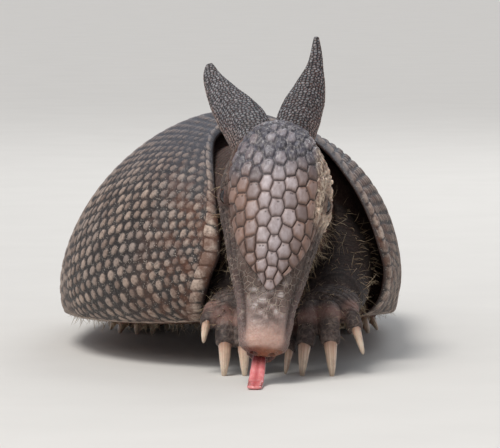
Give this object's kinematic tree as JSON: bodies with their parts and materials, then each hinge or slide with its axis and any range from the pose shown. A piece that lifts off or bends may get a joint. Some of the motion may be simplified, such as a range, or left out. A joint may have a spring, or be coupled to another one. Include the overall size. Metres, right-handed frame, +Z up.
{
  "type": "nine-banded armadillo",
  "caption": "Life-size crouching nine-banded armadillo with its head down and tongue out to drink, armoured shell, upright ears and ringed tail.",
  "frame": {"origin": "on the floor, under the middle of the animal's box", "axes": "+Z up, the snout points to -Y and the tail to +Y, the animal's left side is +X"},
  "size_m": [0.1633, 0.651, 0.1506],
  "materials": {
    "shell": "horn-covered bony scutes, pale on dark grey-brown, dull sheen",
    "head_scutes": "polygonal pinkish-grey scutes with dark grooves",
    "skin": "wrinkled grey-brown skin with small scales and sparse hair, pink at the snout",
    "ear_skin": "dark grey pebbled leathery skin",
    "claw": "cream and pinkish horn, smooth",
    "eye": "wet dark brown",
    "tongue": "wet pink"
  },
  "bodies": {
    "root": {"shield_scapular": "shell", "band_1": "shell", "band_2": "shell", "band_3": "shell", "band_4": "shell", "band_5": "shell", "band_6": "shell", "band_7": "shell", "band_8": "shell", "band_9": "shell", "shield_pelvic": "shell", "trunk": "skin", "head": "skin", "head_shield": "head_scutes", "jaw": "skin", "tongue": "tongue", "neck": "skin", "eye_right": "eye", "ear_right": "ear_skin", "eye_left": "eye", "ear_left": "ear_skin", "foreleg_right": "skin", "forefoot_right": "skin", "foreclaw_right_1": "claw", "foreclaw_right_2": "claw", "foreclaw_right_3": "claw", "foreclaw_right_4": "claw", "foreleg_left": "skin", "forefoot_left": "skin", "foreclaw_left_1": "claw", "foreclaw_left_2": "claw", "foreclaw_left_3": "claw", "foreclaw_left_4": "claw", "hindleg_right": "skin", "hindfoot_right": "skin", "hindclaw_right_1": "claw", "hindclaw_right_2": "claw", "hindclaw_right_3": "claw", "hindclaw_right_4": "claw", "hindclaw_right_5": "claw", "hindleg_left": "skin", "hindfoot_left": "skin", "hindclaw_left_1": "claw", "hindclaw_left_2": "claw", "hindclaw_left_3": "claw", "hindclaw_left_4": "claw", "hindclaw_left_5": "claw", "tail_base": "shell", "tail_mid": "shell", "tail_tip": "shell"}
  },
  "joints": []
}
